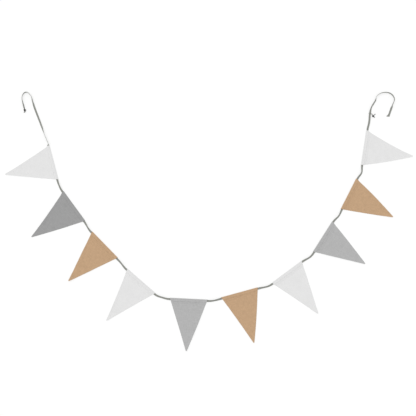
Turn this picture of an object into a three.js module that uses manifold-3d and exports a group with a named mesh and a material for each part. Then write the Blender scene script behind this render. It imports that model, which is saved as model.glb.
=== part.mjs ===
// Fabric bunting: ten cloth pennants threaded on one narrow flat tape, laid out in a wide U, tips outwards.
// Millimetres: +X across the U, +Y towards its open end, +Z up, and the surface that it lies on is z = 0.

import * as THREE from "three";
import { mergeVertices } from "three/addons/utils/BufferGeometryUtils.js";
import Module from "manifold-3d";

// Driving dimensions
const CLOTH = 1; // thickness of a pennant's cloth
const GAP = 0.3; // clear space between two layers or two pieces
const TAPE_WIDTH = 7;
const TAPE_THICK = 1.2;
const CASING_DEPTH = 13; // from the folded top edge to the stitching that closes the casing
const CASING_SLOPE = 2.5; // over which the casing comes down to its stitching
const HEM_DEPTH = 15; // from the folded top edge to the raw edge of the hem underneath
const FACE_DEPTH = 19; // from the folded top edge to where the cloth lies on the surface, in a single layer
const TAPE_INSET = 4.9; // from the folded top edge to the middle of the tape
const TAPE_BEVEL = 0.35; // at the tape's edges
const TAPE_CROWN = 0.05; // how much thicker the tape is along its middle, on each face
const STATION_ANGLE = 35; // degrees of turn or twist from one station to the next, on average over a span
const KNOT_STEPS = 8; // stations in the route's first span, where the tape is knotted
const CUT_STEPS = 5; // stations in its last span, where the tape is cut
const TIP_WIDTH = 2;
const TIP_CURL = 0.72; // share of the way down at which the tip starts to lift
const TAIL_REACH = 1 / 3; // how far a curve's handles reach along a span of a tail, as a share of its length
const GAP_REACH = 0.42; // the same between two pennants

const COLOURS = {
  white: "#e4e4e2",
  darkGrey: "#9e9e9e",
  lightGrey: "#b4b4b4",
  tan: "#c2a180",
  tape: "#8f9089",
  tie: "#5a5a58",
};

// The pennants from the left. start and end are where the tape enters and leaves the casing. drop is the
// length down to the tip, and shift is how far the tip lies towards the end side. The bows are how far the
// two sides belly out. The lifts are how far the tip and the sides stand off the surface.
// lean is the tape's own lean in degrees, halfway to the next pennant, and bow is how far it bows out there.
const PENNANTS = [
  { cloth: "white", start: [-602.7, 344.2], end: [-563.7, 213.5], drop: 184.3, shift: -6.2,
    lean: 34, bow: -1, startBow: -1.4, endBow: 0.4, tipLift: 3, startLift: 0, endLift: 1.5 },
  { cloth: "darkGrey", start: [-542.9, 168.7], end: [-459.2, 57.9], drop: 190.2, shift: 0.7,
    lean: 40, bow: 0, startBow: -3, endBow: 1.6, tipLift: 1, startLift: 2, endLift: 0 },
  { cloth: "tan", start: [-431.1, 17.5], end: [-336.2, -77.6], drop: 183, shift: 3.7,
    lean: 38, bow: -1, startBow: 0.6, endBow: 0, tipLift: 4, startLift: 0, endLift: 1 },
  { cloth: "white", start: [-299.7, -117.9], end: [-197.5, -204.7], drop: 186, shift: -1.7,
    lean: 36, bow: -2.7, startBow: -1.9, endBow: -0.5, tipLift: 2, startLift: 1.5, endLift: 0 },
  { cloth: "lightGrey", start: [-142.3, -222.9], end: [-7.8, -229.4], drop: 183.2, shift: 1.1,
    lean: 40, bow: 0, startBow: -0.2, endBow: 1.1, tipLift: 3, startLift: 0, endLift: 2 },
  { cloth: "tan", start: [42.6, -221.1], end: [173.6, -185.8], drop: 184, shift: 2.3,
    lean: 44, bow: 0, startBow: -1.3, endBow: 2, tipLift: 1, startLift: 1, endLift: 1 },
  { cloth: "white", start: [226.2, -168.5], end: [335.1, -89.5], drop: 184, shift: 0.3,
    lean: 38, bow: 1, startBow: -0.9, endBow: 0.6, tipLift: 4, startLift: 0, endLift: 1.5 },
  { cloth: "lightGrey", start: [379.1, -54.8], end: [452.3, 55.6], drop: 180.4, shift: 0.1,
    lean: 42, bow: 3, startBow: 0.4, endBow: 1.4, tipLift: 2, startLift: 2, endLift: 0 },
  { cloth: "tan", start: [485.7, 102], end: [546.8, 215.8], drop: 181.7, shift: -1.2,
    lean: 38, bow: 4.4, startBow: 1.2, endBow: 2.6, tipLift: 2, startLift: 0, endLift: 2 },
  { cloth: "white", start: [566.8, 268.3], end: [592.6, 403.7], drop: 185.3, shift: 0.5,
    lean: 0, bow: 2, startBow: 3.1, endBow: -4.1, tipLift: 3, startLift: 1, endLift: 0 },
];

// The tape's free tails, whose points join the casings' ends into its route. lean turns the tape about its
// own line: 0 lies flat and 90 stands on edge. rise is how far it is held off the surface.
const LEFT_TAIL = [
  { x: -694.8, y: 474.8, lean: 20, rise: 0 },
  { x: -701.8, y: 497.8, lean: 64, rise: 0 },
  { x: -709.8, y: 534.8, lean: 106, rise: 0 },
  { x: -695.8, y: 551.8, lean: 86, rise: 0 },
  { x: -676.8, y: 537.8, lean: 84, rise: 0 },
  { x: -670.3, y: 518.8, lean: 52, rise: 0 },
  { x: -661.3, y: 491.8, lean: 8, rise: 0 },
  { x: -632.3, y: 421.8, lean: 26, rise: 0 },
  { x: -617.6, y: 383.8, lean: 80, rise: 0 },
  { x: -602.6, y: 349.6, lean: 80, rise: 0 },
];
const RIGHT_TAIL = [
  { x: 604.7, y: 467.8, lean: 0, rise: 2.6 },
  { x: 611.2, y: 491.8, lean: 48, rise: 0.4 },
  { x: 628.2, y: 519.8, lean: 48, rise: 0 },
  { x: 634.2, y: 537.3, lean: 90, rise: 0 },
  { x: 657.2, y: 550.3, lean: 93, rise: 0 },
  { x: 685.2, y: 546.8, lean: 86, rise: 0 },
  { x: 699.4, y: 525.8, lean: 88, rise: 0 },
  { x: 690.7, y: 500.8, lean: 80, rise: 0 },
  { x: 685.7, y: 486.8, lean: 12, rise: 0 },
  { x: 674, y: 455.8, lean: 6, rise: 0 },
];

// The overhand knot that ends the left tail: its middle and length along the tape, and its largest section
const KNOT = { middle: 6.5, length: 11, width: 9.5, thick: 5.5 };

// The right tail's cut end: how much wider it spreads, over what length, and the slope of its slanting cut
const CUT = { flare: 4.5, length: 14, slant: 0.38 };

// The cord tied round the right tail, placed from the middle of the tape there: across it, along it, and up
// from the surface. Its loop closes in a small knot, and its two ends lie on the surface.
const TIE_CORD = 1.8;
const TIE_KNOT = { across: 11.6, along: -10.3, up: 2.9, width: 9.2, depth: 8.4, height: 5.6 };
const TIE_LOOP = [
  { across: 10.8, along: -8.8, up: 3.3 },
  { across: 9.3, along: -4, up: 3.7 },
  { across: 6, along: -1.2, up: 4.3 },
  { across: 2.2, along: 0, up: 5.3 },
  { across: -2.8, along: 0, up: 5.3 },
  { across: -5.3, along: 0, up: 3.2 },
  { across: -2.5, along: 0, up: 1.05 },
  { across: 2.2, along: 0, up: 1.1 },
  { across: 5.6, along: -2, up: 1.2 },
  { across: 7.8, along: -5.6, up: 1.5 },
  { across: 10, along: -9.9, up: 2.3 },
];
const TIE_ENDS = [
  [TIE_KNOT, { across: 16.2, along: -5.6, up: 2.6 }, { across: 20, along: -1.8, up: 2.5 }],
  [TIE_KNOT, { across: 15.4, along: -13.4, up: 2.1 }, { across: 17.8, along: -15.6, up: 1.9 }],
];

const radians = THREE.MathUtils.degToRad;
const mix = THREE.MathUtils.lerp;
const smooth = THREE.MathUtils.smoothstep;

// A matt fabric in one of the colours
function fabric(colour) {
  return new THREE.MeshStandardMaterial({ color: COLOURS[colour], roughness: 0.9, metalness: 0 });
}

// The geometry with every vertex moved to move(vertex) and shared vertices merged
function reshape(geometry, move) {
  geometry.deleteAttribute("normal");
  geometry.deleteAttribute("uv");
  const places = geometry.getAttribute("position");
  const vertex = new THREE.Vector3();
  for (let i = 0; i < places.count; i++) {
    const moved = move(vertex.fromBufferAttribute(places, i));
    places.setXYZ(i, moved.x, moved.y, moved.z);
  }
  const merged = mergeVertices(geometry);
  merged.computeVertexNormals();
  return merged;
}

// The middle of a pennant's cloth in section across its top: from the hem's raw edge underneath, round the
// fold over the tape, down to the stitching and on to the tip. depth is measured from the folded edge.
function sectionRows(drop) {
  const low = CLOTH / 2;
  const high = CLOTH + GAP + TAPE_THICK + GAP + CLOTH / 2;
  const pressed = CLOTH + GAP + CLOTH / 2;
  const radius = (high - low) / 2;
  const turn = radius + CLOTH / 2;
  const foldAngles = [30, 60, 90, 120, 150];
  const fold = foldAngles.map((angle) => ({
    depth: turn - radius * Math.sin(radians(angle)),
    height: low + radius * (1 - Math.cos(radians(angle))),
  }));
  const faceShares = [0.06, 0.19, 0.32, 0.45, 0.58, 0.7, 0.8, 0.89, 0.95, 1];
  const face = faceShares.map((share) => ({
    depth: mix(FACE_DEPTH, drop, share),
    height: low,
  }));
  return [
    { depth: HEM_DEPTH, height: low },
    { depth: TAPE_INSET, height: low },
    { depth: turn, height: low },
    ...fold,
    { depth: turn, height: high },
    { depth: CASING_DEPTH - CASING_SLOPE, height: high },
    { depth: CASING_DEPTH, height: pressed },
    { depth: HEM_DEPTH + CLOTH / 2, height: pressed },
    { depth: FACE_DEPTH, height: low },
    ...face,
  ];
}

// The section's direction at one row, from its neighbours
function directionAt(rows, i) {
  const before = rows[Math.max(i - 1, 0)];
  const after = rows[Math.min(i + 1, rows.length - 1)];
  return new THREE.Vector2(after.depth - before.depth, after.height - before.height).normalize();
}

// How far a pennant's cloth stands off the surface, at a share of its way across and down. Each side's lift
// dies out a third of the way in, so the middle lies flat.
function liftAt(row, across, down) {
  const belly = 4 * down * (1 - down);
  const startSide = Math.max(0, 1 - 3 * across) ** 2;
  const endSide = Math.max(0, 3 * across - 2) ** 2;
  const tip = smooth(down, TIP_CURL, 1) ** 2;
  return belly * (row.startLift * startSide + row.endLift * endSide) + row.tipLift * tip;
}

// A pennant: one sheet whose columns narrow to the tip and whose rows follow the folded section
function pennantGeometry(row) {
  const columns = 6;
  const section = sectionRows(row.drop);
  const start = new THREE.Vector2(...row.start);
  const end = new THREE.Vector2(...row.end);
  const along = end.clone().sub(start).normalize();
  const down = new THREE.Vector2(along.y, -along.x);
  const half = start.distanceTo(end) / 2;
  const top = start.clone().add(end).divideScalar(2).addScaledVector(down, -TAPE_INSET);
  const sheet = new THREE.BoxGeometry(1, section.length - 1, 1, columns, section.length - 1, 1);
  return reshape(sheet, (vertex) => {
    const i = Math.round(vertex.y + (section.length - 1) / 2);
    const { depth, height } = section[i];
    const direction = directionAt(section, i);
    const offset = vertex.z * CLOTH;
    const far = depth - offset * direction.y;
    const share = depth / row.drop;
    const belly = 4 * share * (1 - share);
    const left = mix(-half, row.shift - TIP_WIDTH / 2, share) - row.startBow * belly;
    const right = mix(half, row.shift + TIP_WIDTH / 2, share) + row.endBow * belly;
    const across = 0.5 - vertex.x;
    const onFace = Math.max(0, (depth - FACE_DEPTH) / (row.drop - FACE_DEPTH));
    const place = top.clone().addScaledVector(along, mix(left, right, across)).addScaledVector(down, far);
    const rise = height + offset * direction.x + liftAt(row, across, onFace);
    return new THREE.Vector3(place.x, place.y, rise);
  });
}

// The route's points in order, each with its lean and rise. A casing's two points hold the tape straight.
function routeRows() {
  const rise = CLOTH + GAP;
  const casings = PENNANTS.flatMap(({ start, end, lean, bow }) => {
    const along = new THREE.Vector3(end[0] - start[0], end[1] - start[1], 0).normalize();
    return [
      { x: start[0], y: start[1], lean: 0, rise, along },
      { x: end[0], y: end[1], lean: 0, rise, along, leanAfter: lean, bowAfter: bow },
    ];
  });
  return [...LEFT_TAIL, ...casings, ...RIGHT_TAIL];
}

// The tape's direction at one point of the route
function headingAt(rows, i) {
  if (rows[i].along) return rows[i].along;
  const before = rows[Math.max(i - 1, 0)];
  const after = rows[Math.min(i + 1, rows.length - 1)];
  return new THREE.Vector3(after.x - before.x, after.y - before.y, 0).normalize();
}

// How high the middle of a strip lies when its lower edge touches the surface
function restingHeight(lean, width = TAPE_WIDTH, thick = TAPE_THICK) {
  return (width * Math.abs(Math.sin(lean)) + thick * Math.abs(Math.cos(lean))) / 2;
}

// The stations along one span of the route, closer together where the tape turns or twists
function spanStations(rows, i, fewest) {
  const from = rows[i];
  const to = rows[i + 1];
  const leaving = headingAt(rows, i);
  const arriving = headingAt(rows, i + 1);
  const a = new THREE.Vector3(from.x, from.y, 0);
  const b = new THREE.Vector3(to.x, to.y, 0);
  const reach = a.distanceTo(b) * (from.along && to.along ? GAP_REACH : TAIL_REACH);
  const curve = new THREE.CubicBezierCurve3(
    a,
    a.clone().addScaledVector(leaving, reach),
    b.clone().addScaledVector(arriving, -reach),
    b,
  );
  const outward = new THREE.Vector3(b.y - a.y, a.x - b.x, 0).normalize();
  const leanAfter = from.leanAfter ?? 0;
  const bowAfter = from.bowAfter ?? 0;
  const turn = leaving.angleTo(arriving) / radians(STATION_ANGLE);
  const twist = (Math.abs(to.lean - from.lean) + 2 * leanAfter) / STATION_ANGLE;
  const steps = Math.max(fewest, Math.ceil(turn), Math.ceil(twist));
  return Array.from({ length: steps }, (_, step) => {
    const share = step / steps;
    const swing = Math.sin(Math.PI * share);
    const eased = smooth(share, 0, 1);
    const lean = radians(mix(from.lean, to.lean, eased) + leanAfter * swing);
    const middle = curve.getPoint(share).addScaledVector(outward, bowAfter * swing ** 2);
    middle.z = restingHeight(lean) + mix(from.rise, to.rise, eased);
    return { middle, heading: curve.getTangent(share), lean };
  });
}

// Every station of the tape, from the left tail's end to the right tail's
function tapeStations() {
  const rows = routeRows();
  const last = rows.length - 1;
  const fewest = (i) => (i === 0 ? KNOT_STEPS : i === last - 1 ? CUT_STEPS : 1);
  const spans = rows.slice(0, last).flatMap((_, i) => spanStations(rows, i, fewest(i)));
  const { x, y, lean, rise } = rows[last];
  const middle = new THREE.Vector3(x, y, restingHeight(radians(lean)) + rise);
  return [...spans, { middle, heading: headingAt(rows, last), lean: radians(lean) }];
}

// The tape's section: eight points, a little proud along its middle above and below and at its two edges
function tapeSection() {
  const w = TAPE_WIDTH / 2;
  const t = TAPE_THICK / 2;
  const shoulder = t - TAPE_CROWN;
  return new THREE.Shape([
    new THREE.Vector2(0, t),
    new THREE.Vector2(TAPE_BEVEL - w, shoulder),
    new THREE.Vector2(-w, 0),
    new THREE.Vector2(TAPE_BEVEL - w, -shoulder),
    new THREE.Vector2(0, -t),
    new THREE.Vector2(w - TAPE_BEVEL, -shoulder),
    new THREE.Vector2(w, 0),
    new THREE.Vector2(w - TAPE_BEVEL, shoulder),
  ]);
}

// The tape: a straight strip with one ring for each station, laid along the route, swollen at its knot, and
// spread to one side at its cut end
function tapeGeometry() {
  const stations = tapeStations();
  const steps = stations.length - 1;
  const strip = new THREE.ExtrudeGeometry(tapeSection(), { depth: steps, steps, bevelEnabled: false });
  const up = new THREE.Vector3(0, 0, 1);
  return reshape(strip, (vertex) => {
    const { middle, heading, lean } = stations[Math.round(vertex.z)];
    const fromKnot = Math.abs(middle.distanceTo(stations[0].middle) - KNOT.middle) / (KNOT.length / 2);
    const swell = fromKnot < 1 ? Math.cos((fromKnot * Math.PI) / 2) ** 2 : 0;
    const nearCut = 1 - smooth(middle.distanceTo(stations[steps].middle), 0, CUT.length);
    const spread = CUT.flare * nearCut ** 2;
    const width = mix(TAPE_WIDTH, KNOT.width, swell) + spread;
    const thick = mix(TAPE_THICK, KNOT.thick, swell);
    const side = new THREE.Vector3().crossVectors(up, heading);
    const across = side.clone().multiplyScalar(Math.cos(lean)).addScaledVector(up, Math.sin(lean));
    const through = new THREE.Vector3().crossVectors(heading, across);
    const raised = restingHeight(lean, width, thick) - restingHeight(lean);
    return middle.clone()
      .addScaledVector(across, (vertex.x * width) / TAPE_WIDTH)
      .addScaledVector(side, -spread / 2)
      .addScaledVector(heading, -nearCut * vertex.x * CUT.slant)
      .addScaledVector(through, (vertex.y * thick) / TAPE_THICK)
      .addScaledVector(up, raised);
  });
}

// A closed mesh as a manifold-3d solid
function solid(wasm, geometry) {
  const merged = reshape(geometry, (vertex) => vertex);
  const vertProperties = new Float32Array(merged.getAttribute("position").array);
  return new wasm.Manifold(
    new wasm.Mesh({ numProp: 3, vertProperties, triVerts: new Uint32Array(merged.index.array) }),
  );
}

// A length of thin cord through the given points
function cordGeometry(points, steps) {
  const section = new THREE.Shape();
  section.absarc(0, 0, TIE_CORD / 2, 0, 2 * Math.PI);
  const extrudePath = new THREE.CatmullRomCurve3(points);
  return new THREE.ExtrudeGeometry(section, { steps, curveSegments: 4, extrudePath, bevelEnabled: false });
}

// The cord tied round the right tail, as one solid
function tieGeometry(wasm) {
  const { x, y } = RIGHT_TAIL[0];
  const place = ({ across, along, up }) => new THREE.Vector3(x + across, y + along, up);
  const knot = new THREE.SphereGeometry(0.5, 12, 8);
  knot.scale(TIE_KNOT.width, TIE_KNOT.depth, TIE_KNOT.height);
  knot.translate(...place(TIE_KNOT));
  const pieces = [
    knot,
    cordGeometry(TIE_LOOP.map(place), 28),
    ...TIE_ENDS.map((points) => cordGeometry(points.map(place), 6)),
  ];
  const joined = pieces.map((piece) => solid(wasm, piece)).reduce((whole, piece) => whole.add(piece));
  const { vertProperties, triVerts } = joined.getMesh();
  const geometry = new THREE.BufferGeometry();
  geometry.setAttribute("position", new THREE.BufferAttribute(vertProperties, 3));
  geometry.setIndex(new THREE.BufferAttribute(triVerts, 1));
  geometry.computeVertexNormals();
  return geometry;
}

function named(name, geometry, colour) {
  const mesh = new THREE.Mesh(geometry, fabric(colour));
  mesh.name = name;
  return mesh;
}

const wasm = await Module();
wasm.setup();

const bunting = new THREE.Group();
PENNANTS.forEach((row, i) => {
  bunting.add(named(`pennant_${i + 1}`, pennantGeometry(row), row.cloth));
});
bunting.add(named("tape", tapeGeometry(), "tape"));
bunting.add(named("tail_tie", tieGeometry(wasm), "tie"));

export default bunting;
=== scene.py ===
import math
import random
from collections import namedtuple

import bmesh
import bpy
import numpy as np
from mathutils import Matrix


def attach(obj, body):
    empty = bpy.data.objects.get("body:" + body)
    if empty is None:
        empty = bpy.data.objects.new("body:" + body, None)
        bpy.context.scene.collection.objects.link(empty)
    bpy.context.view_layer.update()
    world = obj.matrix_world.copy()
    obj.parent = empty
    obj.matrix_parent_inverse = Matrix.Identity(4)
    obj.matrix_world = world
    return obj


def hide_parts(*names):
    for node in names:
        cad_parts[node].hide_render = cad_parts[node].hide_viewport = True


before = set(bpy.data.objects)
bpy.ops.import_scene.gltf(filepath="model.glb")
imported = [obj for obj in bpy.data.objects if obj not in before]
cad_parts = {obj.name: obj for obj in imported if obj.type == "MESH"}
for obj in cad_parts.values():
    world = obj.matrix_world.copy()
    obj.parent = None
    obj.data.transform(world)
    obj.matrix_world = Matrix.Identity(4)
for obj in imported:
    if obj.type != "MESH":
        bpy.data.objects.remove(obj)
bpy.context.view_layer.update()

# Fabric bunting: ten cloth pennants threaded on one narrow flat tape, laid out in a wide U on a pale floor.
# Sizes are in millimetres and angles in degrees, in the part's frame. Meshes are made in metres.
MM = 0.001

# Driving dimensions, as in the part's source. A depth is measured from a pennant's folded top edge.
CLOTH = 1.0
GAP = 0.3
TAPE_WIDTH = 7.0
TAPE_THICK = 1.2
TAPE_INSET = 4.9  # depth of the tape's middle
HEM_DEPTH = 15.0  # depth of the hem's raw edge
FACE_DEPTH = 19.0  # depth at which the cloth lies on the floor in a single layer
TIP_WIDTH = 2.0
TIP_CURL = 0.72  # share of the way down at which the tip starts to lift
TAIL_REACH = 1 / 3  # how far a curve's handles reach along a span of a tail, as a share of its length
GAP_REACH = 0.42  # the same between two pennants

# The pennants from the left, as in the part's source. start and end are where the tape enters and leaves the
# casing. drop is the length down to the tip, and shift is how far the tip lies towards the end side. lean
# and bow are the tape's own, halfway to the next pennant. The side bows are how far the cloth's two sides
# belly out, and the lifts are how far the tip and the sides stand off the floor.
Pennant = namedtuple(
    "Pennant", "cloth start end drop shift lean bow start_bow end_bow tip_lift start_lift end_lift"
)
PENNANTS = [
    Pennant("white", (-602.7, 344.2), (-563.7, 213.5), 184.3, -6.2, 34, -1, -1.4, 0.4, 3, 0, 1.5),
    Pennant("dark_grey", (-542.9, 168.7), (-459.2, 57.9), 190.2, 0.7, 40, 0, -3, 1.6, 1, 2, 0),
    Pennant("tan", (-431.1, 17.5), (-336.2, -77.6), 183, 3.7, 38, -1, 0.6, 0, 4, 0, 1),
    Pennant("white", (-299.7, -117.9), (-197.5, -204.7), 186, -1.7, 36, -2.7, -1.9, -0.5, 2, 1.5, 0),
    Pennant("light_grey", (-142.3, -222.9), (-7.8, -229.4), 183.2, 1.1, 40, 0, -0.2, 1.1, 3, 0, 2),
    Pennant("tan", (42.6, -221.1), (173.6, -185.8), 184, 2.3, 44, 0, -1.3, 2, 1, 1, 1),
    Pennant("white", (226.2, -168.5), (335.1, -89.5), 184, 0.3, 38, 1, -0.9, 0.6, 4, 0, 1.5),
    Pennant("light_grey", (379.1, -54.8), (452.3, 55.6), 180.4, 0.1, 42, 3, 0.4, 1.4, 2, 2, 0),
    Pennant("tan", (485.7, 102), (546.8, 215.8), 181.7, -1.2, 38, 4.4, 1.2, 2.6, 2, 0, 2),
    Pennant("white", (566.8, 268.3), (592.6, 403.7), 185.3, 0.5, 0, 2, 3.1, -4.1, 3, 1, 0),
]

# The tape's free tails, as in the part's source. lean turns the tape about its own line: 0 lies flat and 90
# stands on edge. rise is how far it is held off the floor.
TailPoint = namedtuple("TailPoint", "x y lean rise")
LEFT_TAIL = [
    TailPoint(-694.8, 474.8, 20, 0),
    TailPoint(-701.8, 497.8, 64, 0),
    TailPoint(-709.8, 534.8, 106, 0),
    TailPoint(-695.8, 551.8, 86, 0),
    TailPoint(-676.8, 537.8, 84, 0),
    TailPoint(-670.3, 518.8, 52, 0),
    TailPoint(-661.3, 491.8, 8, 0),
    TailPoint(-632.3, 421.8, 26, 0),
    TailPoint(-617.6, 383.8, 80, 0),
    TailPoint(-602.6, 349.6, 80, 0),
]
RIGHT_TAIL = [
    TailPoint(604.7, 467.8, 0, 2.6),
    TailPoint(611.2, 491.8, 48, 0.4),
    TailPoint(628.2, 519.8, 48, 0),
    TailPoint(634.2, 537.3, 90, 0),
    TailPoint(657.2, 550.3, 93, 0),
    TailPoint(685.2, 546.8, 86, 0),
    TailPoint(699.4, 525.8, 88, 0),
    TailPoint(690.7, 500.8, 80, 0),
    TailPoint(685.7, 486.8, 12, 0),
    TailPoint(674, 455.8, 6, 0),
]

# The overhand knot that ends the left tail: how far its middle is along the tape, and its size
KNOT_MIDDLE = 6.5
KNOT_SIZE = (11.0, 9.5, 5.5)
KNOT_CLEAR = 1.9  # how much smaller the knot's line is than the knot
KNOT_STRAND = (3.4, 1.6)  # width and thickness of the crumpled tape in the knot
KNOT_STEPS = 72
KNOT_LIFT = 0.1  # how far it stands off the floor

# The tape next to the knot, where it is gathered
GATHER_START = KNOT_MIDDLE + 2
GATHER_LENGTH = 14.0
GATHERED_WIDTH = 0.45  # as a share of the tape's width
GATHERED_THICK = 1.8  # as a share of its thickness
GATHER_RISE = 0.3  # as a share of the knot's height

# The short end beyond the knot, whose edges curl up
STUB_LENGTH = 7.5
STUB_SWING = 4.0  # how far it turns to one side
STUB_HEIGHT = 0.6  # of its middle, at its end
STUB_WIDTHS = (3.0, 5.5)  # at the knot and at its end
STUB_CURL = 1.0  # height of its curled edges
STUB_THICK = 1.1
STUB_RINGS = 9

# The free tape between those: its woven thickness, and how much its lean and its width waver
WOVEN_THICK = 1.05
WAVER_ANGLE = 2.5
WAVER_LENGTH = 38.0
WAVER_FROM = 20.0  # the lean from which it wavers fully
WIDTH_WAVER = 0.015  # as a share of its width
WIDTH_WAVER_LENGTH = 25.0

# The right tail's cut end: how far it spreads to one side, over what length, and the slope of its cut
CUT_FLARE = 4.5
CUT_LENGTH = 14.0
CUT_SLANT = 0.38

# The cord tied round the right tail, placed from the middle of the tape there, as in the part's source
TIE_CORD = 1.8
TIE_STEP = 0.35  # between two rings of the cord
TIE_KNOT_SIZE = (9.2, 8.4, 5.6)
TIE_KNOT_TURNS = (-40, 50)  # the knot is two overhand knots in one, turned by these angles
TIE_KNOT_STEPS = 96
CordPoint = namedtuple("CordPoint", "across along up")
TIE_KNOT = CordPoint(11.6, -10.3, 2.9)
TIE_LOOP = [
    CordPoint(10.8, -8.8, 3.3),
    CordPoint(9.3, -4, 3.7),
    CordPoint(6, -1.2, 4.3),
    CordPoint(2.2, 0, 5.3),
    CordPoint(-2.8, 0, 5.3),
    CordPoint(-5.3, 0, 3.2),
    CordPoint(-2.5, 0, 1.05),
    CordPoint(2.2, 0, 1.1),
    CordPoint(5.6, -2, 1.2),
    CordPoint(7.8, -5.6, 1.5),
    CordPoint(10, -9.9, 2.3),
]
TIE_ENDS = [
    [TIE_KNOT, CordPoint(16.2, -5.6, 2.6), CordPoint(20, -1.8, 2.5)],
    [TIE_KNOT, CordPoint(15.4, -13.4, 2.1), CordPoint(17.8, -15.6, 1.9)],
]
TIE_FRAY = (0.6, 0.3)  # how far the two plies of each end spread apart
PLY_LAY = 2.2  # length in which the plies turn once, as a multiple of the cord's thickness
PLY_RADIUS = TIE_CORD / 3.6  # of each of its two plies

# Sewing
STITCH_DEPTH = 12.6  # depth of the stitching that closes the casing
STITCH_PITCH = 3.2
STITCH_LENGTH = 2.5
STITCH_LENGTHS = (0.94, 1.06)  # shortest and longest stitch, as shares of that
STITCH_STRAY = 0.12  # how far a stitch lies off the line at most
STITCH_MARGINS = (1.4, 1.2)  # from the pennant's two sides to the stitching
THREAD = 0.34  # thickness of the sewing thread
STITCH_DIP = 0.14  # how far the cloth is drawn in along the stitching
STITCH_DIP_WIDTH = 0.75
SEAM_BAND = 6.5  # width of the turned-in cloth that shows through along the sides
SEAM_RIDGE = 0.15  # how far it stands out

# The casing and the tip
CASING_END = 8.8  # depth from which the casing slopes down to the stitching
PRESSED = 1.6 * CLOTH  # height of the upper layer's middle at the stitching, where it lies on the hem
TAPE_SHOWS = 0.12  # how far the casing stands up over the tape
TAPE_SHOWS_REACH = 4.0  # how far to each side of the tape's middle
TIP_ROUND = 1.4  # length over which the tip is rounded off
TIP_BLUNT = 0.02  # keeps its last row from closing to a point

# The cloth's unevenness. Each has a height and the length of its humps.
PUCKER = 0.16  # along the stitching
PUCKER_LENGTH = 11.0
PUCKER_REACH = 10.0  # over which it dies out, away from the stitching
RELIEF = 0.22  # on the face
RELIEF_LENGTH = 55.0
RELIEF_FROM = 60.0  # depth from which it is full
WANDER = 0.3  # of the two sides
WANDER_LENGTH = 45.0

# How fine the weave and the meshes are
WEAVE_PITCH = 0.5
WEAVE_SHIFT = 7  # gives each pennant unevenness of its own
RIB_BAND = 1.75  # width of one slant of the tape's herringbone
RIB_PITCH = 0.9
TAPE_STEP = 2.0
ROUTE_STEPS = 24  # in each span of the route
CURVE_STEPS = 16  # in each span of a cord
CLOTH_COLUMNS = 65
SIDE_CROWDING = 0.35  # 0 spaces the columns evenly, and 1 crowds them most at the sides
FACE_ROWS = 53

# Linear colours
CLOTH_COLOURS = {
    "white": (0.703, 0.702, 0.702),
    "light_grey": (0.408, 0.408, 0.408),
    "dark_grey": (0.306, 0.306, 0.306),
    "tan": (0.485, 0.32, 0.19),
}
CLOTH_MOTTLE = {"white": 0.03, "light_grey": 0.23, "dark_grey": 0.28, "tan": 0.3}  # of their threads' tone
TAPE_COLOUR = (0.24, 0.245, 0.222)
TIE_COLOUR = (0.24, 0.24, 0.225)

# Tones that multiply those colours, most of them painted shade or painted light
KNOT_PAINTED_SHADE = 0.35  # painted shade: the tape's knot, darkened as if shaded in its tight folds
STUB_PAINTED_SHADE = 0.85  # painted shade: the end of the tape beyond the knot, slightly darkened
TIE_PAINTED_SHADE = 0.22  # painted shade: the tie's knot, darkened as if shaded in its deep folds, and its two ends as well
LINK_SHADE = 0.6  # its loop next to the knot
LOOP_PAINTED_LIGHT = 1.6  # painted light: its loop, lightened where it crosses the tape so that its shade there doesn't show
LINK_SHARES = (0.1, 0.3)  # of the loop's length from the knot, between which its tone changes

# Painted shade: how much darker the cloth is painted at its sides, near its fold and along its stitching,
# where shade falls, and over what reach
EDGE_PAINTED_SHADE = 0.06
EDGE_SHADE_REACH = 0.9
FOLD_PAINTED_SHADE = 0.04
FOLD_SHADE_DEPTH = 3.5
FOLD_SHADE_REACH = 2
STITCH_PAINTED_SHADE = 0.015
STITCH_SHADE_REACH = 0.8

# The floor is grey and glows as well, so that it comes out as white as the photo's ground.
FLOOR_SIZE = 9.0  # metres from its middle to its sides
FLOOR_GAP = 0.2
FLOOR_COLOUR = (0.35, 0.35, 0.35)
FLOOR_GLOW = 0.63

# The studio's light: even from all round, and a soft key light from the upper left
SKY_LIGHT = 1.0
KEY_LIGHT = 0.5
KEY_SOFTNESS = 40  # how wide the key light is, as an angle
KEY_TURN = (-30, -35, 0)

# The picture is taken from nearly straight above, a little from the side of the U's closed end.
CAMERA_AIM = (-5.8, 107.8)
CAMERA_DISTANCE = 2100
CAMERA_TILT = 9
CAMERA_ANGLE = 40


def mix(a, b, share):
    return a + (b - a) * share


def smooth(value, start=0.0, end=1.0):
    """0 before start, 1 after end, and a soft step between them"""
    share = np.clip((value - start) / (end - start), 0, 1)
    return share * share * (3 - 2 * share)


def unit(vectors):
    return vectors / np.linalg.norm(vectors, axis=-1, keepdims=True)


def uneven(x, y, seed, length, count=6):
    """A smooth random surface between -1 and 1, the sum of some waves with humps about length apart"""
    draw = random.Random(seed)
    shortest, longest = 0.7, 1.6
    total = np.zeros(np.broadcast(x, y).shape)
    for _ in range(count):
        angle = draw.uniform(0, math.tau)
        pace = math.tau / (length * draw.uniform(shortest, longest))
        turned = x * math.cos(angle) + y * math.sin(angle)
        total += np.sin(turned * pace + draw.uniform(0, math.tau))
    return total / count


def stack_faces(first, count, size, closed):
    """The faces over rings of points whose numbers start at first. Open stacks get a flat cap at each end: a
    ring's first point and its middle one are the ends of its width, and the cap joins its two halves."""
    faces = []
    for i in range(count if closed else count - 1):
        here = first + i * size
        after = first + (i + 1) % count * size
        for k in range(size):
            turn = (k + 1) % size
            faces.append((here + k, here + turn, after + turn, after + k))
    if closed:
        return faces
    for base in (first, first + (count - 1) * size):
        for k in range(size // 2):
            corners = (k, k + 1, size - k - 1, (size - k) % size)
            faces.append(tuple(base + corner for corner in dict.fromkeys(corners)))
    return faces


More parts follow.
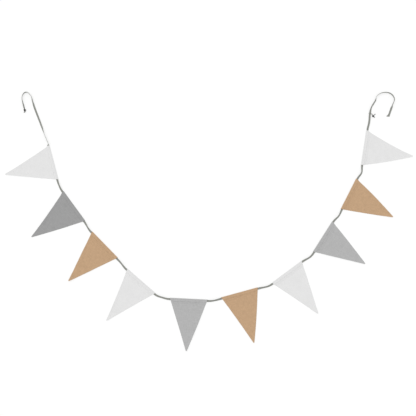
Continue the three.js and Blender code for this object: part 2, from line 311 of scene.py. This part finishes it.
def make_piece(name, stacks, material, closed=(), **attributes):
    """One object skinned over stacks of rings in millimetres. closed holds the numbers of the stacks that
    end where they start, and attributes are values for each point, in order."""
    places = []
    faces = []
    for number, rings in enumerate(stacks):
        count, size = rings.shape[:2]
        faces += stack_faces(len(places), count, size, number in closed)
        places += (rings.reshape(-1, 3) * MM).tolist()
    mesh = bpy.data.meshes.new(name)
    mesh.from_pydata(places, [], faces)
    for label, values in attributes.items():
        kind, key = ("FLOAT_VECTOR", "vector") if values.shape[-1] == 3 else ("FLOAT", "value")
        mesh.attributes.new(label, kind, "POINT").data.foreach_set(key, np.ravel(values).astype(np.float32))
    turned = bmesh.new()
    turned.from_mesh(mesh)
    bmesh.ops.recalc_face_normals(turned, faces=turned.faces)
    turned.to_mesh(mesh)
    turned.free()
    mesh.shade_smooth()
    mesh.materials.append(material)
    piece = bpy.data.objects.new(name, mesh)
    bpy.context.scene.collection.objects.link(piece)
    return piece


# Curves and cords

def spaced(points, step):
    """The points of a line, again, at about equal steps along it"""
    reach = np.concatenate([[0], np.cumsum(np.linalg.norm(np.diff(points[:, :3], axis=0), axis=1))])
    stops = np.linspace(0, reach[-1], max(2, round(reach[-1] / step) + 1))
    return np.stack([np.interp(stops, reach, column) for column in points.T], axis=1)


def curve_through(points, step):
    """A smooth line through points, in equal steps"""
    known = np.array(points, float)
    known = np.vstack([2 * known[0] - known[1], known, 2 * known[-1] - known[-2]])
    share = np.linspace(0, 1, CURVE_STEPS, endpoint=False)[:, None]
    spans = []
    for a, b, c, d in zip(known, known[1:], known[2:], known[3:]):
        bend = (2 * a - 5 * b + 4 * c - d) * share**2 + (3 * b - a - 3 * c + d) * share**3
        spans.append(b + ((c - a) * share + bend) / 2)
    return spaced(np.vstack([*spans, known[-2:-1]]), step)


def carried_frames(path, closed=False):
    """The directions along, beside and above a path at each point, carried on without a twist"""
    if closed:
        along = unit(np.roll(path, -1, axis=0) - np.roll(path, 1, axis=0))
    else:
        along = unit(np.gradient(path, axis=0))
    beside = np.zeros_like(along)
    last = np.array((0.0, 0.0, 1.0))
    starts_upright = abs(along[0] @ last) > 0.9
    if starts_upright:
        last = np.array((1.0, 0.0, 0.0))
    for i, heading in enumerate(along):
        last = unit(last - heading * (last @ heading))
        beside[i] = last
    return along, beside, np.cross(along, beside)


def ply_rings(path, turns, start, spread, closed, sides=8):
    """The rings of one ply twisted round a path. Where spread isn't 0 its end is cut: there spread pushes
    the ply out over the last quarter, and its loosened fibres swell to twice its size."""
    _, beside, above = carried_frames(path, closed)
    share = np.linspace(0, 1, len(path), endpoint=not closed)[:, None]
    angle = start + math.tau * turns * share
    out = TIE_CORD / 2 - PLY_RADIUS + spread * smooth(share, 0.75, 1)
    middle = path + (beside * np.cos(angle) + above * np.sin(angle)) * out
    round_angles = np.linspace(0, math.tau, sides, endpoint=False)
    circle = [beside * math.cos(a) + above * math.sin(a) for a in round_angles]
    loosened = smooth(share, 0.3, 0.9) * (spread > 0)
    return np.stack([middle + direction * PLY_RADIUS * (1 + loosened) for direction in circle], axis=1)


def twisted_cord(path, spread=0.0, closed=False):
    """The rings of a cord's two plies, twisted together"""
    length = np.linalg.norm(np.diff(path, axis=0), axis=1).sum()
    turns = max(1, round(length / (PLY_LAY * TIE_CORD)))
    return [ply_rings(path, turns, start, spread, closed) for start in (0, math.pi)]


def knot_path(middle, size, thick, heading, steps):
    """The closed line of an overhand knot that fills size with a cord of that thickness"""
    turn = np.linspace(0, math.tau, steps, endpoint=False)
    round_path = np.stack(
        [
            (np.sin(turn) + 2 * np.sin(2 * turn)) / 3,
            (np.cos(turn) - 2 * np.cos(2 * turn)) / 3,
            -np.sin(3 * turn),
        ],
        axis=1,
    )
    local = round_path * (np.array(size) - thick) / 2
    along = np.array((math.cos(heading), math.sin(heading), 0))
    across = np.array((-math.sin(heading), math.cos(heading), 0))
    up = np.array((0, 0, 1))
    return np.array(middle) + local @ np.stack([along, across, up])


# The tape and its route

# lean_after and bow_after are the tape's lean and its outward bow halfway to the next point.
RoutePoint = namedtuple("RoutePoint", "place lean rise heading lean_after bow_after")


def route_rows():
    """The route's points in order. A casing's two points hold the tape straight."""
    rise = CLOTH + GAP
    tails = [
        [RoutePoint((point.x, point.y), point.lean, point.rise, None, 0, 0) for point in tail]
        for tail in (LEFT_TAIL, RIGHT_TAIL)
    ]
    casings = []
    for pennant in PENNANTS:
        heading = unit(np.subtract(pennant.end, pennant.start).astype(float))
        casings.append(RoutePoint(pennant.start, 0, rise, heading, 0, 0))
        casings.append(RoutePoint(pennant.end, 0, rise, heading, pennant.lean, pennant.bow))
    return [*tails[0], *casings, *tails[1]]


def route_line():
    """The tape's route as rows of x, y, 0, lean and rise, in equal steps"""
    rows = route_rows()
    places = np.array([row.place for row in rows], float)
    headings = [
        between if row.heading is None else row.heading
        for row, between in zip(rows, np.gradient(places, axis=0))
    ]
    headings = unit(np.array(headings))
    share = np.linspace(0, 1, ROUTE_STEPS, endpoint=False)[:, None]
    swing = np.sin(math.pi * share)
    step = smooth(share)
    stops = []
    for i, (row, after) in enumerate(zip(rows, rows[1:])):
        chord = places[i + 1] - places[i]
        between_casings = row.heading is not None and after.heading is not None
        reach = np.linalg.norm(chord) * (GAP_REACH if between_casings else TAIL_REACH)
        leaving = places[i] + headings[i] * reach
        arriving = places[i + 1] - headings[i + 1] * reach
        line = (
            places[i] * (1 - share) ** 3
            + leaving * 3 * share * (1 - share) ** 2
            + arriving * 3 * share**2 * (1 - share)
            + places[i + 1] * share**3
        )
        outward = unit(np.array((chord[1], -chord[0])))
        line = line + outward * row.bow_after * swing**2
        lean = mix(row.lean, after.lean, step) + row.lean_after * swing
        rise = mix(row.rise, after.rise, step)
        stops.append(np.hstack([line, 0 * share, lean, rise]))
    end = rows[-1]
    stops.append(np.array([[*end.place, 0, end.lean, end.rise]], float))
    return spaced(np.vstack(stops), TAPE_STEP)


def tape_section():
    """Half the tape's section from one edge to the other, as shares of its width and thickness"""
    across = np.array((-0.5, -0.485, -0.44, -0.38, -0.2, 0, 0.2, 0.38, 0.44, 0.485, 0.5))
    above = np.array((0, 0.34, 0.48, 0.43, 0.41, 0.42, 0.41, 0.43, 0.48, 0.34, 0))
    wide = np.concatenate([across, across[-2:0:-1]])
    thick = np.concatenate([above, -above[-2:0:-1]])
    return wide, thick


def tape_rings():
    """The tape's rings from its knot to its cut end. With them come their middles, their places in the
    weave, their painted shade, which darkens the gathered tape next to the knot, and the tape's length."""
    line = route_line()
    run = np.arange(len(line)) * TAPE_STEP
    kept = run >= GATHER_START
    line = line[kept]
    run = run[kept]
    along = unit(np.gradient(line[:, :3], axis=0))
    free = smooth(line[:, 3], 0, WAVER_FROM)
    waver = uneven(run, 0 * run, seed=41, length=WAVER_LENGTH) * WAVER_ANGLE * free
    lean = np.radians(line[:, 3] + waver)[:, None]
    up = np.array((0, 0, 1))
    side = np.cross(up, along)
    across = side * np.cos(lean) + up * np.sin(lean)
    through = np.cross(along, across)
    ungathered = smooth(run, GATHER_START, GATHER_START + GATHER_LENGTH)
    uneven_width = 1 + WIDTH_WAVER * uneven(run, 0 * run, seed=43, length=WIDTH_WAVER_LENGTH)
    width = TAPE_WIDTH * mix(GATHERED_WIDTH, 1, ungathered) * uneven_width
    near_cut = smooth(run[-1] - run, CUT_LENGTH, 0)
    width += CUT_FLARE * near_cut**2
    thick = WOVEN_THICK * mix(GATHERED_THICK, 1, ungathered)
    wide, deep = tape_section()
    flat = across[:, None] * (wide * width[:, None])[..., None]
    flat = flat + through[:, None] * (deep * thick[:, None])[..., None]
    low = flat[..., 2].min(axis=1)
    middle = line[:, :3].copy()
    middle[:, 2] = line[:, 4] - low
    middle[:, 2] += (1 - ungathered) * KNOT_SIZE[2] * GATHER_RISE
    middle -= side * (CUT_FLARE / 2 * near_cut**2)[:, None]
    rings = middle[:, None] + flat
    rings -= along[:, None] * (near_cut[:, None] * wide * TAPE_WIDTH * CUT_SLANT)[..., None]
    weave = np.zeros_like(rings)
    weave[..., 0] = wide * TAPE_WIDTH
    weave[..., 1] = run[:, None]
    # painted shade: the gathered tape darkens towards the knot, as if shaded by it
    shade = mix(KNOT_PAINTED_SHADE, 1, ungathered)[:, None] * np.ones_like(rings[..., 0])
    return rings, middle, weave, shade, run[-1] - run[0]


def tape_knot_rings():
    """The tape crumpled in an overhand knot, its short end beyond the knot, and the painted shade of both"""
    line = route_line()
    step = round(KNOT_MIDDLE / TAPE_STEP)
    heading = unit(line[step + 1, :2] - line[step - 1, :2])
    middle = np.array((*line[step, :2], KNOT_SIZE[2] / 2 + KNOT_LIFT))
    path = knot_path(middle, KNOT_SIZE, KNOT_CLEAR, math.atan2(heading[1], heading[0]), KNOT_STEPS)
    along = unit(np.roll(path, -1, axis=0) - np.roll(path, 1, axis=0))
    outward = path - middle
    outward = unit(outward - along * np.sum(outward * along, axis=1, keepdims=True))
    across = np.cross(along, outward)
    wide, deep = tape_section()
    width, thick = KNOT_STRAND
    loops = path[:, None] + across[:, None] * (wide * width)[:, None]
    loops = loops + outward[:, None] * (deep * thick)[:, None]
    up = np.array((0, 0, 1))
    side = np.array((-heading[1], heading[0], 0))
    share = np.linspace(0, 1, STUB_RINGS)[:, None]
    opened = smooth(share, 0.4, 1)
    stub = middle - np.array((*heading, 0)) * STUB_LENGTH * share + side * STUB_SWING * share**2
    stub[:, 2] = mix(middle[2], STUB_HEIGHT, smooth(share[:, 0]))
    stub_width = mix(*STUB_WIDTHS, smooth(share, 0.3, 1))
    curl = up * (STUB_CURL * (2 * wide) ** 2)[None, :, None] * opened[:, :, None]
    end = stub[:, None] + side * (wide[None] * stub_width)[..., None] + curl
    end = end + up * (deep * STUB_THICK)[None, :, None]
    for piece in (loops, end):
        piece[..., 2] -= min(0, piece[..., 2].min())
    # painted shade: the knot is dark in its folds, and the short end lightens towards its tip
    shades = [KNOT_PAINTED_SHADE + 0 * loops[..., 0], mix(KNOT_PAINTED_SHADE, STUB_PAINTED_SHADE, opened) + 0 * end[..., 0]]
    return loops, end, np.concatenate([shade.ravel() for shade in shades])


def tie_stacks():
    """The cord tied round the right tail: its loop, its two frayed ends and its knot, with their painted
    shade and painted light
    """
    base = np.array((RIGHT_TAIL[0].x, RIGHT_TAIL[0].y, 0))
    loop = curve_through([base + point for point in TIE_LOOP], TIE_STEP)
    stacks = twisted_cord(loop)
    share = np.linspace(0, 1, len(loop))[:, None]
    # painted light: the loop is lightened where it crosses the tape, and darker towards the knot
    tone = mix(LINK_SHADE, LOOP_PAINTED_LIGHT, smooth(np.minimum(share, 1 - share), *LINK_SHARES))
    shade = [(tone + 0 * rings[..., 0]).ravel() for rings in stacks]
    for points, fray in zip(TIE_ENDS, TIE_FRAY):
        stacks += twisted_cord(curve_through([base + point for point in points], TIE_STEP), spread=fray)
    closed_from = len(stacks)
    for turn in TIE_KNOT_TURNS:
        knot = knot_path(base + TIE_KNOT, TIE_KNOT_SIZE, TIE_CORD, math.radians(turn), TIE_KNOT_STEPS)
        stacks += twisted_cord(knot, closed=True)
    # painted shade on the knot and the two ends
    shade += [np.full(rings[..., 0].size, TIE_PAINTED_SHADE) for rings in stacks[len(shade):]]
    return stacks, range(closed_from, len(stacks)), np.concatenate(shade)


# The pennants

def section_rows(drop):
    """Rows of depth and height of the cloth's middle, from the hem's raw edge round the fold to the tip, and
    the number of rows in the hem. The rows are closest together at the stitching, the fold and the tip."""
    low = CLOTH / 2
    high = CLOTH + GAP + TAPE_THICK + GAP + CLOTH / 2
    radius = (high - low) / 2
    turn = radius + CLOTH / 2
    hem = np.array((15, 14.4, 13.8, 13.2, 12.6, 12, 11.4, 10.6, 9, 7, 5, 3.4))
    angles = np.radians(np.arange(0, 181, 15))
    fold = turn - radius * np.sin(angles)
    casing = np.concatenate([np.linspace(2.9, 9, 7), np.linspace(9.6, 15.6, 11), np.linspace(16.2, 19, 5)])
    face = mix(FACE_DEPTH, drop - 3, np.linspace(0, 1, FACE_ROWS + 1)[1:])
    tip = drop - TIP_ROUND * np.array((1.3, 1, 0.7, 0.4, 0.18, 0.05, 0))
    upper = np.concatenate([casing, face, tip])
    down_to_stitch = smooth(upper, CASING_END, STITCH_DEPTH)
    down_to_face = smooth(upper, HEM_DEPTH + 0.4, FACE_DEPTH)
    from_tape = np.clip((upper - TAPE_INSET) / TAPE_SHOWS_REACH, -1, 1)
    over_tape = TAPE_SHOWS * np.cos(from_tape * math.pi / 2)
    height = high - (high - PRESSED) * down_to_stitch - (PRESSED - low) * down_to_face
    depths = np.concatenate([hem, fold, upper])
    heights = np.concatenate([hem * 0 + low, low + radius * (1 - np.cos(angles)), height + over_tape])
    return np.stack([depths, heights], axis=1), len(hem)


def lift_at(pennant, across, down):
    """How far the cloth stands off the floor, as in the part's source"""
    belly = 4 * down * (1 - down)
    start_side = np.maximum(0, 1 - 3 * across) ** 2
    end_side = np.maximum(0, 3 * across - 2) ** 2
    tip = smooth(down, TIP_CURL, 1) ** 2
    return belly * (pennant.start_lift * start_side + pennant.end_lift * end_side) + pennant.tip_lift * tip


def pennant_grid(pennant, seed):
    """The outer and inner faces of one pennant in its own frame: across, down and up. With them come the
    length of cloth from the hem's raw edge to each row, and the number of rows in the hem."""
    section, hem_rows = section_rows(pennant.drop)
    depth, height = section[:, :1], section[:, 1:]
    heading = unit(np.gradient(section, axis=0))
    run = np.concatenate([[0], np.cumsum(np.linalg.norm(np.diff(section, axis=0), axis=1))])[:, None]
    half = math.dist(pennant.start, pennant.end) / 2
    even = np.linspace(0, 1, CLOTH_COLUMNS)
    closer_at_sides = 0.5 - 0.5 * np.cos(math.pi * even)
    across = ((1 - SIDE_CROWDING) * even + SIDE_CROWDING * closer_at_sides)[None]
    share = depth / pennant.drop
    belly = 4 * share * (1 - share)
    into_tip = np.maximum(0, 1 - (pennant.drop - depth) / TIP_ROUND)
    tip_round = np.sqrt(np.maximum(1 - into_tip**2, TIP_BLUNT))
    middle = mix(0, pennant.shift, share)
    wander = WANDER * smooth(belly)
    left = middle - (middle - mix(-half, pennant.shift - TIP_WIDTH / 2, share)) * tip_round
    right = middle + (mix(half, pennant.shift + TIP_WIDTH / 2, share) - middle) * tip_round
    left = left - pennant.start_bow * belly + wander * uneven(depth, 0 * depth, seed, WANDER_LENGTH)
    right = right + pennant.end_bow * belly + wander * uneven(depth, 0 * depth, seed + 1, WANDER_LENGTH)
    x = mix(left, right, across)
    rim = np.minimum(x - left, right - x)
    on_top = np.arange(len(section))[:, None] > hem_rows
    on_face = np.clip((depth - FACE_DEPTH) / (pennant.drop - FACE_DEPTH), 0, 1)
    near_stitch = np.exp(-np.abs(depth - STITCH_DEPTH) / PUCKER_REACH)
    pucker = PUCKER * near_stitch * (1 + uneven(x, 0 * x, seed + 2, PUCKER_LENGTH))
    far_down = smooth(depth, FACE_DEPTH, RELIEF_FROM)
    relief = RELIEF * far_down * (1 + uneven(x, depth, seed + 3, RELIEF_LENGTH))
    lift = lift_at(pennant, across, on_face) + pucker + relief
    dip = STITCH_DIP * np.exp(-(((depth - STITCH_DEPTH) / STITCH_DIP_WIDTH) ** 2))
    ridge = SEAM_RIDGE * (1 - smooth(rim, SEAM_BAND - 1, SEAM_BAND + 0.8)) * smooth(depth, 2, 6) * on_top

    def face(offset):
        """The cloth's middle, moved out by offset"""
        down = depth - offset * heading[:, 1:]
        up = height + offset * heading[:, :1] + lift
        return np.stack([x, down, up], axis=-1)

    return face(CLOTH / 2 - dip + ridge), face(-CLOTH / 2 + 0 * rim), run, hem_rows


def rim_points(outer, inner, sign):
    """The rounded side of the sheet, where two layers of cloth are seamed, with the seam as a fine groove.
    out is how far its points stand out, and share is how far they are from the outer face to the inner."""
    out = np.array((0.3, 0.42, 0.2, 0.42, 0.3))
    share = np.array((0.12, 0.3, 0.5, 0.7, 0.88))
    points = mix(outer[:, None], inner[:, None], share[None, :, None])
    points[..., 0] += sign * out
    return points


def in_place(pennant, points):
    """Points of the pennant's own frame in the part's frame"""
    start = np.array((*pennant.start, 0), float)
    end = np.array((*pennant.end, 0), float)
    along = unit(end - start)
    down = np.array((along[1], -along[0], 0))
    top = (start + end) / 2 - down * TAPE_INSET
    return top + points @ np.stack([along, down, (0, 0, 1)])


def make_pennant(number, pennant, material):
    """A pennant's cloth as one closed sheet, which carries its places in the weave and its painted shade.
    With it come its outer face, the number of rows in its hem and its length laid flat."""
    outer, inner, run, hem_rows = pennant_grid(pennant, seed=100 * number)
    right_rim = rim_points(outer[:, -1], inner[:, -1], 1)
    left_rim = rim_points(inner[:, 0], outer[:, 0], -1)
    rings = np.concatenate([left_rim[:, 2:], outer, right_rim, inner[:, ::-1], left_rim[:, :2]], axis=1)
    weave = rings.copy()
    weave[..., 1] = run
    weave[..., 2] = number * WEAVE_SHIFT
    x = rings[..., 0]
    rim = np.minimum(x - x.min(axis=1, keepdims=True), x.max(axis=1, keepdims=True) - x)
    depth = rings[..., 1]
    # painted shade: darker at the sides, along the stitching and near the fold, where shade falls
    shade = 1 - EDGE_PAINTED_SHADE * np.exp(-rim / EDGE_SHADE_REACH)
    shade -= STITCH_PAINTED_SHADE * np.exp(-((depth - STITCH_DEPTH) / STITCH_SHADE_REACH) ** 2)
    shade -= FOLD_PAINTED_SHADE * np.exp(-((depth - FOLD_SHADE_DEPTH) / FOLD_SHADE_REACH) ** 2)
    cloth = make_piece(
        f"pennant_cloth_{number}", [in_place(pennant, rings)], material,
        weave=weave, shade=shade[..., None],
    )
    return cloth, outer, hem_rows, run[-1, 0]


def stitch_stacks(pennant, outer, hem_rows, seed):
    """The casing's stitches on both faces: short runs of thread whose ends go down into the cloth. bend and
    taper are their height and thickness from end to end, as shares of the thread's."""
    draw = random.Random(seed)
    bend = np.array((-0.9, 0.1, 0.55, 0.7, 0.55, 0.1, -0.9))
    taper = np.array((0.55, 0.9, 1, 1, 1, 0.9, 0.55))
    spokes = np.linspace(0, math.tau, 6, endpoint=False)
    stacks = []
    depths = outer[:, 0, 1]
    top_row = hem_rows + 2 + np.argmin(np.abs(depths[hem_rows + 2:] - STITCH_DEPTH))
    hem_row = np.argmin(np.abs(depths[:hem_rows] - STITCH_DEPTH))
    for row, side in ((top_row, 1), (hem_row, -1)):
        line = outer[row]
        x = line[0, 0] + STITCH_MARGINS[0]
        while x + STITCH_LENGTH < line[-1, 0] - STITCH_MARGINS[1]:
            reach = STITCH_LENGTH * draw.uniform(*STITCH_LENGTHS)
            xs = np.linspace(x, x + reach, len(bend))
            level = np.interp(xs, line[:, 0], line[:, 2])
            lane = np.interp(xs, line[:, 0], line[:, 1]) + draw.uniform(-STITCH_STRAY, STITCH_STRAY)
            radius = THREAD / 2 * taper
            height = level + side * bend * THREAD / 2
            if side < 0:
                height = np.maximum(height, radius)
            middle = np.stack([xs, lane, height], axis=1)
            circle = np.stack([0 * spokes, np.cos(spokes), np.sin(spokes)], axis=1)
            stacks.append(in_place(pennant, middle[:, None] + circle[None] * radius[:, None, None]))
            x += STITCH_PITCH
    return stacks


# Materials

def new_material(name, roughness, sheen):
    """A matt fabric whose colour and bump are still to be linked, with its node tree and its shader"""
    material = bpy.data.materials.new(name)
    material.use_nodes = True
    shader = material.node_tree.nodes["Principled BSDF"]
    shader.inputs["Roughness"].default_value = roughness
    shader.inputs["Specular IOR Level"].default_value = 0.25
    shader.inputs["Sheen Weight"].default_value = sheen
    shader.inputs["Sheen Roughness"].default_value = 0.5
    return material, material.node_tree, shader


def math_node(tree, operation, *values):
    """The result of a sum over values, each a number or another node's output"""
    node = tree.nodes.new("ShaderNodeMath")
    node.operation = operation
    for socket, value in zip(node.inputs, values):
        if isinstance(value, bpy.types.NodeSocket):
            tree.links.new(value, socket)
        else:
            socket.default_value = value
    return node.outputs[0]


def read(tree, name):
    """The outputs of an attribute of the mesh"""
    node = tree.nodes.new("ShaderNodeAttribute")
    node.attribute_type = "GEOMETRY"
    node.attribute_name = name
    return node.outputs


def stretched_noise(tree, vector, stretch, detail=2.0):
    """Noise from 0 to 1 over coordinates that are multiplied by stretch, one number for each axis"""
    scaled = tree.nodes.new("ShaderNodeVectorMath")
    scaled.operation = "MULTIPLY"
    tree.links.new(vector, scaled.inputs[0])
    scaled.inputs[1].default_value = stretch
    texture = tree.nodes.new("ShaderNodeTexNoise")
    texture.inputs["Scale"].default_value = 1.0
    texture.inputs["Detail"].default_value = detail
    tree.links.new(scaled.outputs[0], texture.inputs["Vector"])
    return texture.outputs["Fac"]


def weighted(tree, start, *terms):
    """start plus the sum of (value - 0.5) * weight for each (value, weight)"""
    total = start
    for value, weight in terms:
        centred = math_node(tree, "SUBTRACT", value, 0.5)
        total = math_node(tree, "MULTIPLY_ADD", centred, weight, total)
    return total


def finish_material(tree, shader, colour, tone, height, bump_depth):
    """Links a colour multiplied by a tone, and a bump of that depth in millimetres"""
    tinted = tree.nodes.new("ShaderNodeVectorMath")
    tinted.operation = "SCALE"
    tinted.inputs[0].default_value = colour
    tree.links.new(tone, tinted.inputs["Scale"])
    tree.links.new(tinted.outputs[0], shader.inputs["Base Color"])
    bump = tree.nodes.new("ShaderNodeBump")
    bump.inputs["Strength"].default_value = 0.7
    bump.inputs["Distance"].default_value = bump_depth * MM
    tree.links.new(height, bump.inputs["Height"])
    tree.links.new(bump.outputs["Normal"], shader.inputs["Normal"])


def cloth_material(name, colour, mottle):
    """Plain-woven cotton: crossing threads, fine and coarse slubs along both, a faint uneven tone, and the
    mesh's painted shade
    """
    material, tree, shader = new_material(name, 0.9, 0.12)
    place = read(tree, "weave")["Vector"]
    shade = read(tree, "shade")["Fac"]
    parts = tree.nodes.new("ShaderNodeSeparateXYZ")
    tree.links.new(place, parts.inputs[0])
    pace = math.pi / WEAVE_PITCH
    warp = math_node(tree, "SINE", math_node(tree, "MULTIPLY", parts.outputs["X"], pace))
    weft = math_node(tree, "SINE", math_node(tree, "MULTIPLY", parts.outputs["Y"], pace))
    crossing = math_node(tree, "MULTIPLY_ADD", math_node(tree, "MULTIPLY", warp, weft), 0.5, 0.5)
    warp_slub = stretched_noise(tree, place, (2.1, 0.06, 1))
    weft_slub = stretched_noise(tree, place, (0.05, 1.9, 1))
    warp_streak = stretched_noise(tree, place, (0.42, 0.06, 1))
    weft_streak = stretched_noise(tree, place, (0.06, 0.38, 1))
    blotch = stretched_noise(tree, place, (0.03, 0.03, 1), 3.0)
    tone = weighted(
        tree, 1.0, (crossing, 0.08), (warp_slub, 0.13), (weft_slub, 0.12), (blotch, 0.06),
        (warp_streak, mottle), (weft_streak, mottle),
    )
    # the mesh's painted shade, at the cloth's sides, fold and stitching
    tone = math_node(tree, "MULTIPLY", tone, shade)
    height = weighted(tree, 0.5, (crossing, 0.8), (warp_slub, 0.7), (weft_slub, 0.7))
    finish_material(tree, shader, colour, tone, height, 0.12)
    return material


def tape_material(name, colour):
    """Narrow herringbone tape: ribs that slant one way and then the other across its width"""
    material, tree, shader = new_material(name, 0.85, 0.15)
    place = read(tree, "weave")["Vector"]
    parts = tree.nodes.new("ShaderNodeSeparateXYZ")
    tree.links.new(place, parts.inputs[0])
    shifted = math_node(tree, "ADD", parts.outputs["X"], 6 * RIB_BAND)
    zigzag = math_node(tree, "PINGPONG", shifted, RIB_BAND)
    slant = math_node(tree, "ADD", zigzag, parts.outputs["Y"])
    rib = math_node(tree, "SINE", math_node(tree, "MULTIPLY", slant, math.tau / RIB_PITCH))
    rib = math_node(tree, "MULTIPLY_ADD", rib, 0.5, 0.5)
    slub = stretched_noise(tree, place, (2.4, 0.15, 1))
    blotch = stretched_noise(tree, place, (0.05, 0.04, 1))
    tone = weighted(tree, 1.0, (rib, 0.16), (slub, 0.2), (blotch, 0.12))
    # the mesh's painted shade, in the tape's knot and the gathered tape next to it
    tone = math_node(tree, "MULTIPLY", tone, read(tree, "shade")["Fac"])
    height = weighted(tree, 0.5, (rib, 0.8), (slub, 0.6))
    finish_material(tree, shader, colour, tone, height, 0.12)
    return material


def fibre_material(name, colour, roughness=0.8):
    """Spun fibres, for thread and cord. Their noise is laid out in metres, and that of the weaves in
    millimetres."""
    material, tree, shader = new_material(name, roughness, 0.2)
    place = tree.nodes.new("ShaderNodeTexCoord").outputs["Object"]
    fibre = stretched_noise(tree, place, (2600, 2600, 2600), 3.0)
    blotch = stretched_noise(tree, place, (300, 300, 300))
    tone = weighted(tree, 1.0, (fibre, 0.3), (blotch, 0.2))
    # the mesh's painted shade and painted light, on the tie; the stitching carries none
    tone = math_node(tree, "MULTIPLY", tone, read(tree, "shade")["Fac"])
    height = weighted(tree, 0.5, (fibre, 1.0))
    finish_material(tree, shader, colour, tone, height, 0.08)
    return material


# Camera, light and floor

def make_camera():
    """The photo's own view of the whole part"""
    tilt = math.radians(CAMERA_TILT)
    camera = bpy.data.objects.new("camera", bpy.data.cameras.new("camera"))
    camera.data.angle = math.radians(CAMERA_ANGLE)
    back = CAMERA_DISTANCE * math.sin(tilt)
    height = CAMERA_DISTANCE * math.cos(tilt)
    camera.location = (CAMERA_AIM[0] * MM, (CAMERA_AIM[1] - back) * MM, height * MM)
    camera.rotation_euler = (tilt, 0, 0)
    bpy.context.scene.collection.objects.link(camera)
    bpy.context.scene.camera = camera


def make_light():
    """Even studio light from all round, and a soft key light"""
    world = bpy.data.worlds.new("studio")
    world.use_nodes = True
    background = world.node_tree.nodes["Background"]
    background.inputs["Color"].default_value = (1, 1, 1, 1)
    background.inputs["Strength"].default_value = SKY_LIGHT
    bpy.context.scene.world = world
    key = bpy.data.lights.new("key_light", "SUN")
    key.energy = KEY_LIGHT
    key.angle = math.radians(KEY_SOFTNESS)
    light = bpy.data.objects.new("key_light", key)
    light.rotation_euler = [math.radians(angle) for angle in KEY_TURN]
    bpy.context.scene.collection.objects.link(light)
    bpy.context.scene.view_settings.view_transform = "Standard"


def make_floor():
    """A plain floor"""
    mesh = bpy.data.meshes.new("floor")
    corners = [(-1, -1), (1, -1), (1, 1), (-1, 1)]
    places = [(x * FLOOR_SIZE, y * FLOOR_SIZE, -FLOOR_GAP * MM) for x, y in corners]
    mesh.from_pydata(places, [], [(0, 1, 2, 3)])
    material = bpy.data.materials.new("floor")
    material.use_nodes = True
    shader = material.node_tree.nodes["Principled BSDF"]
    shader.inputs["Base Color"].default_value = (*FLOOR_COLOUR, 1)
    shader.inputs["Roughness"].default_value = 1.0
    shader.inputs["Specular IOR Level"].default_value = 0.0
    shader.inputs["Emission Color"].default_value = (1, 1, 1, 1)
    shader.inputs["Emission Strength"].default_value = FLOOR_GLOW
    mesh.materials.append(material)
    floor = bpy.data.objects.new("floor", mesh)
    bpy.context.scene.collection.objects.link(floor)


def make_tape():
    """The tape with its end knot and the cord tied round it"""
    woven = tape_material("tape", TAPE_COLOUR)
    rings, middle, weave, shade, length = tape_rings()
    tape = make_piece("tape_woven", [rings], woven, weave=weave, shade=shade[..., None])
    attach(tape, "root")
    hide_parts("tape")
    loops, end, knot_shade = tape_knot_rings()
    knot_weave = np.concatenate([loops.reshape(-1, 3), end.reshape(-1, 3)])
    knot = make_piece(
        "end_knot", [loops, end], woven, closed=(0,), weave=knot_weave, shade=knot_shade[:, None]
    )
    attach(knot, "root")
    stacks, closed, tie_shade = tie_stacks()
    tie = make_piece(
        "tie_cord", stacks, fibre_material("tie_cord", TIE_COLOUR), closed=closed, shade=tie_shade[:, None]
    )
    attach(tie, "root")
    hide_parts("tail_tie")


def make_pennants():
    """The ten pennants with their stitching"""
    cloths = {
        name: cloth_material(f"cloth_{name}", colour, CLOTH_MOTTLE[name])
        for name, colour in CLOTH_COLOURS.items()
    }
    threads = {
        name: fibre_material(f"thread_{name}", tuple(0.9 * part for part in colour), 0.7)
        for name, colour in CLOTH_COLOURS.items()
    }
    for number, pennant in enumerate(PENNANTS, start=1):
        cloth, outer, hem_rows, length = make_pennant(number, pennant, cloths[pennant.cloth])
        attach(cloth, "root")
        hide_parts(f"pennant_{number}")
        stacks = stitch_stacks(pennant, outer, hem_rows, seed=number)
        even_tone = np.ones((sum(rings[..., 0].size for rings in stacks), 1))
        stitching = make_piece(f"stitching_{number}", stacks, threads[pennant.cloth], shade=even_tone)
        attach(stitching, "root")


make_camera()
make_light()
make_floor()
make_tape()
make_pennants()
